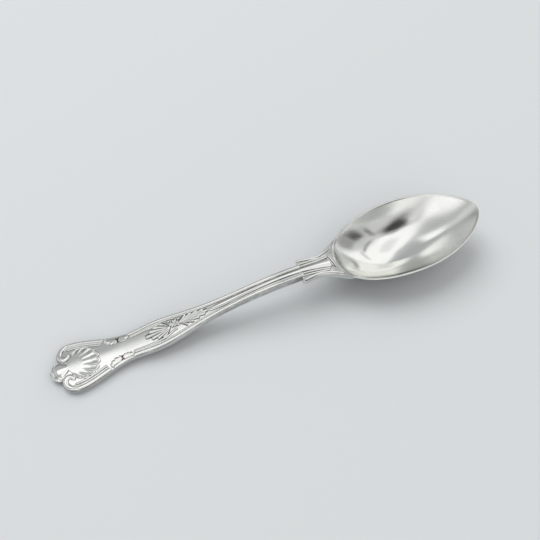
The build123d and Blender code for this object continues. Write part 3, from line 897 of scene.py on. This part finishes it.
for hand, side in SIDES:
    reeds = []
    for (x0, y0), (x1, y1) in REEDS:
        run = np.linspace(x0, x1, 120)
        middle = ((x0 + x1) / 2, y0 * (1 - REED_SAG) + y1 * REED_SAG)
        reed = smooth_curve([(x0, y0), middle, (x1, y1)], 0.0, 0.12)
        reeds.append(bead(places(run, side * reed(run)), REED_HALF, REED_RISE, 0.4, 0.8))
    run = np.linspace(WING_X + 0.3, WING_EDGE_STOP, 160)
    line = places(run, side * (wing_width(run) - WING_EDGE_INSET))
    reeds.append(bead(line, np.linspace(*WING_EDGE_HALF, 160), REED_RISE, 0.6, 3.0, flat=BAND_FLAT))
    skins[f"{hand}_wing_thread"] = reeds
print("reeds on each wing:", len(reeds))

# %% [markdown]
# Drop: the tongue on the back of the bowl where the neck joins it. It is the same metal, thickened
# there for strength, and ends in a round tip on the bowl.

# %% Drop
DROP_START, DROP_END, DROP_HALF, DROP_RISE = 92.0, 109.4, 2.7, 0.72
DROP_INSIDE, DROP_SUNK = 0.3, 0.03
ON_BOWL_X = HEEL_X + 1.0
FAR_ABOVE = 99.0

x = np.repeat((DROP_START + (DROP_END - DROP_START) * to_one_edge(90))[:, None], 41, 1)
lean = to_both_edges(41)[None, :]
closing = quarter_round(ramp(x, DROP_END - DROP_HALF, DROP_END), 0.995)
y = DROP_HALF * closing * lean
neck_back = front_height(x) - thickness(x)
bowl_back = np.where(x > ON_BOWL_X, bowl_height(np.maximum(x, ON_BOWL_X), y, BOWL_OUTER), FAR_ABOVE)
ground = np.minimum(neck_back, bowl_back)
swell = DROP_RISE * quarter_round(lean) * closing * ramp(x, DROP_START, DROP_START + 5)
upper = places(x, y, ground + DROP_INSIDE)
lower = places(x, y, ground - swell + DROP_SUNK)
skins["back_drop"] = [skin(upper, lower)]
print("drop ends at", DROP_END)

# %% [markdown]
# Node trees. The finishes, the room and the cards below wire the same few kinds of nodes: arithmetic, a
# change of range, and a mix of two colours. Helpers for these keep the wiring readable.

# %% Helpers for node trees
FIRST_COLOUR, SECOND_COLOUR, MIXED_COLOUR = 6, 7, 2


def feed(tree, socket, source):
    """Links a source to a socket, or sets the socket if the source is a plain value."""
    if isinstance(source, bpy.types.NodeSocket):
        tree.links.new(source, socket)
    else:
        socket.default_value = source


def add_node(tree, kind, **sources):
    """New shader node of a kind, with its named inputs fed."""
    node = tree.nodes.new(f"ShaderNode{kind}")
    for name, source in sources.items():
        feed(tree, node.inputs[name], source)
    return node


def arithmetic(tree, operation, *sources, kind="Math", result="Value"):
    """Result of a math node, or of a vector math node."""
    node = add_node(tree, kind)
    node.operation = operation
    for socket, source in zip(node.inputs, sources):
        feed(tree, socket, source)
    return node.outputs[result]


def between(tree, source, low, high, to_low=0.0, to_high=1.0, interpolation="LINEAR"):
    """Result of a change of range, held at both ends."""
    node = add_node(tree, "MapRange")
    node.interpolation_type = interpolation
    limits = {"Value": source, "From Min": low, "From Max": high, "To Min": to_low, "To Max": to_high}
    for name, value in limits.items():
        feed(tree, node.inputs[name], value)
    return node.outputs["Result"]


def colour_mix(tree, share, first, second):
    """Result of a mix of two colours, each a source or a plain colour."""
    node = add_node(tree, "Mix", Factor=share)
    node.data_type = "RGBA"
    for index, colour in ((FIRST_COLOUR, first), (SECOND_COLOUR, second)):
        feed(tree, node.inputs[index], (*colour, 1) if isinstance(colour, tuple) else colour)
    return node.outputs[MIXED_COLOUR]


print("sockets of a mix of colours:", FIRST_COLOUR, SECOND_COLOUR, MIXED_COLOUR)

# %% [markdown]
# Silver plate. One node group holds what both finishes share: faint cloudy tarnish, hair scratches from
# years of wiping, tiny pits, dark and brown tarnish left in the grooves, and a tip that has worn dull.
# The dark and brown of the grooves also paint the shade that the pieces lay into their tone. The group
# gives out a colour, a roughness and a height, and each material sets its own amounts. The metal itself
# stays in the material. A noise has a scale, a detail, a stretch and the range that is kept of it.

# %% Node group for worn silver
CLEAN_SILVER, CLOUDED_SILVER = (0.905, 0.91, 0.885), (0.81, 0.82, 0.79)
# Both tarnish colours also paint shade: where a piece lowers its tone for shade, these colours show it.
DARK_TARNISH_AND_SHADE, BROWN_TARNISH_AND_SHADE = (0.085, 0.09, 0.09), (0.19, 0.11, 0.075)
WEAR_NOISES = {
    "cloud": (90, 4, (1, 1, 1), (0.35, 0.7)),
    "patch": (420, 3, (1, 1, 1), (0.3, 0.6, 0.45, 1.0)),
    "hair": (260, 5, (1, 14, 6), (0.42, 0.62)),
    "pit": (2600, 2, (1, 1, 1), (0.72, 0.8)),
    "brown": (160, 2, (1, 1, 1), (0.52, 0.66)),
}
GROOVE, DEEP_GROOVE, LEAF_CREASE = (-0.1, -0.85), (-0.6, -0.95), (-1.5, -1.9)
WORN_TIP = (0.046, 0.066)
CLOUD_SHARE, SCRATCH_DEPTH, PIT_DEPTH = 0.5, 0.25, 0.5
CLOUD_ROUGHNESS, SCRATCH_ROUGHNESS, TARNISH_ROUGHNESS, WORN_TIP_ROUGHNESS = 0.05, 0.06, 0.3, 0.2
GROUP_INPUTS = {"Tarnish_and_shade_tone": 0.0, "Tarnish_and_shade": 0.5, "Scratches": 0.5, "Polish": 0.12}
GROUP_OUTPUTS = {"Color": "NodeSocketColor", "Roughness": "NodeSocketFloat", "Height": "NodeSocketFloat"}


def worn_silver_group():
    """Node group: worn silver from a tone of tarnish and painted shade, with amounts of it and of
    scratches.
    """
    group = bpy.data.node_groups.new("worn_silver", "ShaderNodeTree")
    for name, value in GROUP_INPUTS.items():
        socket = group.interface.new_socket(name, in_out="INPUT", socket_type="NodeSocketFloat")
        socket.default_value = value
    for name, kind in GROUP_OUTPUTS.items():
        group.interface.new_socket(name, in_out="OUTPUT", socket_type=kind)
    given = group.nodes.new("NodeGroupInput")
    out = group.nodes.new("NodeGroupOutput")
    place = add_node(group, "TexCoord").outputs["Object"]
    along = add_node(group, "SeparateXYZ", Vector=place)
    wear = {}
    for name, (scale, detail, stretch, limits) in WEAR_NOISES.items():
        stretched = add_node(group, "Mapping", Vector=place, Scale=stretch).outputs["Vector"]
        noise = add_node(group, "TexNoise", Vector=stretched, Scale=scale, Detail=detail)
        wear[name] = between(group, noise.outputs["Fac"], *limits)
    groove, deep, crease = [
        between(group, given.outputs["Tarnish_and_shade_tone"], *limits) for limits in (GROOVE, DEEP_GROOVE, LEAF_CREASE)
    ]

    def times(first, second):
        return arithmetic(group, "MULTIPLY", first, second)

    def plus(first, second):
        return arithmetic(group, "ADD", first, second)

    dark = times(times(groove, wear["patch"]), given.outputs["Tarnish_and_shade"])
    brown = arithmetic(group, "MAXIMUM", wear["brown"], crease)
    clouded = colour_mix(group, times(wear["cloud"], CLOUD_SHARE), CLEAN_SILVER, CLOUDED_SILVER)
    tarnish_and_shade_colour = colour_mix(group, times(brown, deep), DARK_TARNISH_AND_SHADE, BROWN_TARNISH_AND_SHADE)
    scratched = times(wear["hair"], given.outputs["Scratches"])
    worn = between(group, along.outputs["X"], *WORN_TIP, 0.0, WORN_TIP_ROUGHNESS)
    rough = plus(given.outputs["Polish"], times(wear["cloud"], CLOUD_ROUGHNESS))
    rough = plus(rough, times(scratched, SCRATCH_ROUGHNESS))
    rough = plus(plus(rough, worn), times(dark, TARNISH_ROUGHNESS))
    height = arithmetic(group, "SUBTRACT", 1.0, times(scratched, SCRATCH_DEPTH))
    height = arithmetic(group, "SUBTRACT", height, times(wear["pit"], PIT_DEPTH))
    feed(group, out.inputs["Color"], colour_mix(group, dark, clouded, tarnish_and_shade_colour))
    feed(group, out.inputs["Roughness"], rough)
    feed(group, out.inputs["Height"], height)
    return group


worn_silver = worn_silver_group()
print("group inputs:", [s.name for s in worn_silver.interface.items_tree if s.in_out == "INPUT"])

# %% [markdown]
# Two finishes use the group. The plain metal of bowl, neck and handle was polished often and shows
# fine scratches. The struck ornament is darker in its grooves, partly from tarnish and partly as painted
# shade. Light that the floor would get back from the metal is held down, so that the shadow is dark
# where spoon and floor meet.

# %% The two silver finishes
FLOOR_SEES = (0.15, 0.15, 0.15)
RELIEF_DEPTH = 0.00003


def silver(name, tarnish, scratches, polish, bump):
    """Polished silver with its own amounts of wear, and of tarnish that also paints shade."""
    material = bpy.data.materials.new(name)
    material.use_nodes = True
    tree = material.node_tree
    metal = tree.nodes["Principled BSDF"]
    metal.inputs["Metallic"].default_value = 1.0
    mask = add_node(tree, "Attribute")
    mask.attribute_name = "tarnish_and_shade_tone"
    wear = add_node(tree, "Group")
    wear.node_tree = worn_silver
    for amount, source in zip(GROUP_INPUTS, (mask.outputs["Fac"], tarnish, scratches, polish)):
        feed(tree, wear.inputs[amount], source)
    height = wear.outputs["Height"]
    relief = add_node(tree, "Bump", Strength=bump, Distance=RELIEF_DEPTH, Height=height)
    ray = add_node(tree, "LightPath")
    colour = colour_mix(tree, ray.outputs["Is Diffuse Ray"], wear.outputs["Color"], FLOOR_SEES)
    feed(tree, metal.inputs["Base Color"], colour)
    feed(tree, metal.inputs["Roughness"], wear.outputs["Roughness"])
    feed(tree, metal.inputs["Normal"], relief.outputs["Normal"])
    return material


finishes = {
    "silver_plate": silver("polished_silver_plate", 0.9, 0.6, 0.07, 0.35),
    "struck_silver": silver("struck_silver_relief", 1.35, 0.3, 0.1, 0.25),
}
print("finishes:", list(finishes))

# %% [markdown]
# Now the skins become Blender objects. Each is named after one CAD solid and takes its place, rides on
# the spoon's only body, and carries its tones of crests, grooves and painted shade as a value at each
# point.

# %% Objects from the skins
PLAIN = {"bowl", "shoulders", "back_drop", "handle", "tip_knop"}


def make_piece(name):
    """One object from the skins of that name, in place of the CAD solid."""
    points, faces, tones = [], [], []
    first = 0
    for skin_points, skin_faces, skin_tones in skins[name]:
        faces += [[first + corner for corner in face] for face in skin_faces]
        points.append(skin_points)
        tones.append(skin_tones)
        first += len(skin_points)
    mesh = bpy.data.meshes.new(name)
    mesh.from_pydata(to_frame(np.concatenate(points)).tolist(), [], faces)
    shape = bmesh.new()
    shape.from_mesh(mesh)
    bmesh.ops.recalc_face_normals(shape, faces=shape.faces)
    shape.to_mesh(mesh)
    shape.free()
    mesh.shade_smooth()
    mesh.attributes.new("tarnish_and_shade_tone", "FLOAT", "POINT").data.foreach_set("value", np.concatenate(tones))
    finish = "silver_plate" if name in PLAIN else "struck_silver"
    mesh.materials.append(finishes[finish])
    piece = add_object(f"{name}_silver", mesh)
    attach(piece, "root")
    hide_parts(name)
    return piece


pieces = [make_piece(name) for name in skins]
left_over = sorted(set(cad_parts) - set(skins))
print("pieces:", len(pieces), "points:", sum(len(p.data.vertices) for p in pieces), "left over:", left_over)

# %% [markdown]
# The stage: a plain pale floor. It is a large sheet with a faint cool tint.

# %% Floor
FLOOR_COLOUR, FLOOR_ROUGHNESS = (0.73, 0.755, 0.767), 0.9
FLOOR_SIZE = 3.0


def flat_sheet(name, half_wide, half_tall):
    """Mesh of one flat four-cornered sheet."""
    corners = [(-half_wide, -half_tall, 0), (half_wide, -half_tall, 0)]
    corners += [(half_wide, half_tall, 0), (-half_wide, half_tall, 0)]
    mesh = bpy.data.meshes.new(name)
    mesh.from_pydata(corners, [], [(0, 1, 2, 3)])
    return mesh


paper = bpy.data.materials.new("pale_paper")
paper.use_nodes = True
matt = paper.node_tree.nodes["Principled BSDF"]
matt.inputs["Base Color"].default_value = (*FLOOR_COLOUR, 1)
matt.inputs["Roughness"].default_value = FLOOR_ROUGHNESS
floor = add_object("floor", flat_sheet("floor", FLOOR_SIZE / 2, FLOOR_SIZE / 2))
floor.data.materials.append(paper)
print("floor, m:", FLOOR_SIZE)

# %% [markdown]
# The room. Silver has hardly a colour of its own: it shows the room. Here that is pale on the right, grey
# on the left behind the spoon, and grey again at the far right. Reflections see it at full strength,
# and the floor gets a calmer share. The camera sees one tone instead, about that of the far floor, so
# that the floor's edge hardly stands out in low views.

# %% The room
BRIGHT_SIDE = (0.834, -0.552, 0.0)
ROOM_TONES = [
    (0.00, (0.42, 0.43, 0.435)),
    (0.46, (0.42, 0.43, 0.435)),
    (0.52, (0.52, 0.53, 0.535)),
    (0.57, (1.06, 1.06, 1.05)),
    (0.85, (1.04, 1.04, 1.03)),
    (0.92, (0.64, 0.65, 0.65)),
    (1.00, (0.50, 0.51, 0.51)),
]
ROOM_ON_FLOOR = 0.84
BACKDROP_COLOUR = (0.575, 0.598, 0.605)

world = bpy.data.worlds.new("room")
world.use_nodes = True
bpy.context.scene.world = world
room = world.node_tree
compass = add_node(room, "TexCoord")
facing = arithmetic(room, "DOT_PRODUCT", compass.outputs["Generated"], BRIGHT_SIDE, kind="VectorMath")
walls = add_node(room, "ValToRGB")
walls.color_ramp.interpolation = "EASE"
for place, _ in ROOM_TONES[1:-1]:
    walls.color_ramp.elements.new(place)
for element, (place, colour) in zip(walls.color_ramp.elements, ROOM_TONES):
    element.position = place
    element.color = (*colour, 1)
feed(room, walls.inputs["Fac"], between(room, facing, -1.0, 1.0))
ray = add_node(room, "LightPath")
by_camera = ray.outputs["Is Camera Ray"]
mirrored = arithmetic(room, "MAXIMUM", ray.outputs["Is Glossy Ray"], ray.outputs["Is Transmission Ray"])
seen = arithmetic(room, "MAXIMUM", by_camera, mirrored)
background = room.nodes["Background"]
colour = colour_mix(room, by_camera, walls.outputs["Color"], BACKDROP_COLOUR)
feed(room, background.inputs["Color"], colour)
feed(room, background.inputs["Strength"], between(room, seen, 0.0, 1.0, ROOM_ON_FLOOR, 1.0))
print("room tones:", len(ROOM_TONES))

# %% [markdown]
# Light: one large soft window behind the spoon and to the left throws a weak shadow forward. It isn't
# seen in reflections, so the room and the cards below alone draw the gleams in the metal.

# %% Soft window
WINDOW_BEARING, WINDOW_CLIMB = 104, 58
WINDOW_DISTANCE, WINDOW_SIZE, WINDOW_POWER = 2.0, 1.5, 20.5


def direction(bearing, climb):
    """Direction from a bearing about the vertical and a climb above the floor, in degrees."""
    bearing, climb = np.radians(bearing), np.radians(climb)
    return Vector((np.cos(bearing) * np.cos(climb), np.sin(bearing) * np.cos(climb), np.sin(climb)))


to_window = direction(WINDOW_BEARING, WINDOW_CLIMB)
window = add_object("window", bpy.data.lights.new("window", "AREA"))
window.data.shape = "SQUARE"
window.data.size = WINDOW_SIZE
window.data.energy = WINDOW_POWER
window.location = to_window * WINDOW_DISTANCE
window.rotation_euler = (-to_window).to_track_quat("-Z", "Y").to_euler()
window.visible_glossy = False

# %% [markdown]
# Glow of a card. A studio hangs pale and dark cards round silver to give it shape, because metal in an
# even room looks flat. Each card's edge fades out, so that its gleam has a soft border. The fourth powers
# of the two distances from its middle give a rounded square, and noise makes its edge ragged if asked.

# %% Glow that fades out
CLOUD_SCALE = 3.0


def fading_glow(name, strength, fade, ragged):
    """Material that glows evenly and fades out towards a rounded, more or less ragged edge."""
    material = bpy.data.materials.new(name)
    material.use_nodes = True
    tree = material.node_tree
    tree.nodes.remove(tree.nodes["Principled BSDF"])
    place = add_node(tree, "TexCoord").outputs["Generated"]
    vectors = {"kind": "VectorMath", "result": "Vector"}
    centred = arithmetic(tree, "MULTIPLY_ADD", place, (2, 2, 0), (-1, -1, 0), **vectors)
    squares = arithmetic(tree, "MULTIPLY", centred, centred, **vectors)
    length = arithmetic(tree, "LENGTH", squares, kind="VectorMath")
    clouds = add_node(tree, "TexNoise", Vector=place, Scale=CLOUD_SCALE)
    reach = arithmetic(tree, "POWER", length, 0.5)
    reach = arithmetic(tree, "MULTIPLY_ADD", clouds.outputs["Fac"], ragged, reach)
    start, stop = 1.0 - fade + ragged / 2, 1.0 + ragged / 2
    glow = add_node(tree, "Emission", Strength=strength)
    clear = add_node(tree, "BsdfTransparent")
    mix = add_node(tree, "MixShader", Fac=between(tree, reach, start, stop, 1.0, 0.0, "SMOOTHSTEP"))
    feed(tree, mix.inputs[1], clear.outputs["BSDF"])
    feed(tree, mix.inputs[2], glow.outputs["Emission"])
    feed(tree, tree.nodes["Material Output"].inputs["Surface"], mix.outputs["Shader"])
    return material


print("scale of a ragged edge's noise:", CLOUD_SCALE)

# %% [markdown]
# Reflection cards. Only reflections see these. The bright ones draw gleams along the bowl and the handle,
# and the dark ones draw the dark patches in the bowl and beside the relief. A row gives a card's name,
# its bearing and climb from the bowl and its width and height, all in degrees, then its strength, the
# share of it that fades, its roll in degrees, its raggedness and its distance in metres. The first card
# is placed from a spot left of the handle instead.

# %% Reflection cards
BOWL_PLACE = Vector(to_frame((BOWL_X, 0.0, 8.0)))
LEFT_OF_HANDLE = Vector(to_frame((-60.0, 0.0, 4.0)))
CARDS = [
    ("over_handle_card", (93, 79), (42, 43), 1.12, 0.4, 0, 0.0, 0.5),
    ("near_bright_card", (-128, 22), (46, 30), 1.2, 0.35, 0, 0.0, 0.95),
    ("near_grey_card", (-101, 11), (16, 9), 0.4, 0.7, 0, 0.0, 0.8),
    ("near_high_card", (-117, 52), (13, 34), 0.5, 0.6, 0, 0.0, 0.8),
    ("near_wall_card", (-76, 27), (58, 36), 0.6, 0.35, 0, 0.0, 0.9),
    ("pale_patch_card", (-94, 29), (12, 17), 0.9, 0.7, 0, 0.0, 0.8),
    ("near_line_card", (-104, 31), (4, 34), 0.15, 0.8, 0, 0.0, 0.8),
    ("dark_card", (-77, 30), (38, 28), 0.04, 0.7, 25, 0.8, 0.8),
    ("low_dark_card", (-38, 15), (22, 18), 0.1, 0.7, 0, 0.4, 0.8),
    ("rim_gleam_card", (-38, 2), (70, 9), 1.15, 0.5, 0, 0.0, 0.7),
    ("arch_side_card", (-52, 20), (6, 24), 0.2, 0.7, 0, 0.0, 0.8),
    ("arch_top_card", (-20, 36), (50, 6), 0.22, 0.7, 0, 0.0, 0.8),
    ("low_right_card", (-24, 14), (50, 20), 0.34, 0.5, 0, 0.3, 0.9),
    ("right_stripe_card", (12, 31), (36, 6), 0.62, 0.7, 0, 0.0, 0.8),
    ("right_high_card", (-18, 63), (54, 20), 0.84, 0.6, 0, 0.0, 0.8),
    ("far_low_card", (80, 13), (110, 28), 0.2, 0.4, 0, 0.0, 0.8),
    ("left_pale_card", (165, 33), (60, 24), 0.85, 0.6, 0, 0.0, 0.8),
]

for name, view, size, strength, fade, roll, ragged, distance in CARDS:
    toward = direction(*view)
    half_wide, half_tall = distance * np.tan(np.radians(np.array(size) / 2))
    card = add_object(name, flat_sheet(name, half_wide, half_tall))
    card.data.materials.append(fading_glow(name, strength, fade, ragged))
    card.location = (LEFT_OF_HANDLE if name == "over_handle_card" else BOWL_PLACE) + toward * distance
    card.rotation_mode = "QUATERNION"
    card.rotation_quaternion = Quaternion(toward, np.radians(roll)) @ (-toward).to_track_quat("-Z", "Y")
    card.visible_camera = False
    card.visible_diffuse = False
    card.visible_shadow = False
    card.visible_transmission = False
print("cards:", len(CARDS))

# %% [markdown]
# Last, the picture is shown as it is lit, without a film look.

# %% View transform
bpy.context.scene.view_settings.view_transform = "Standard"
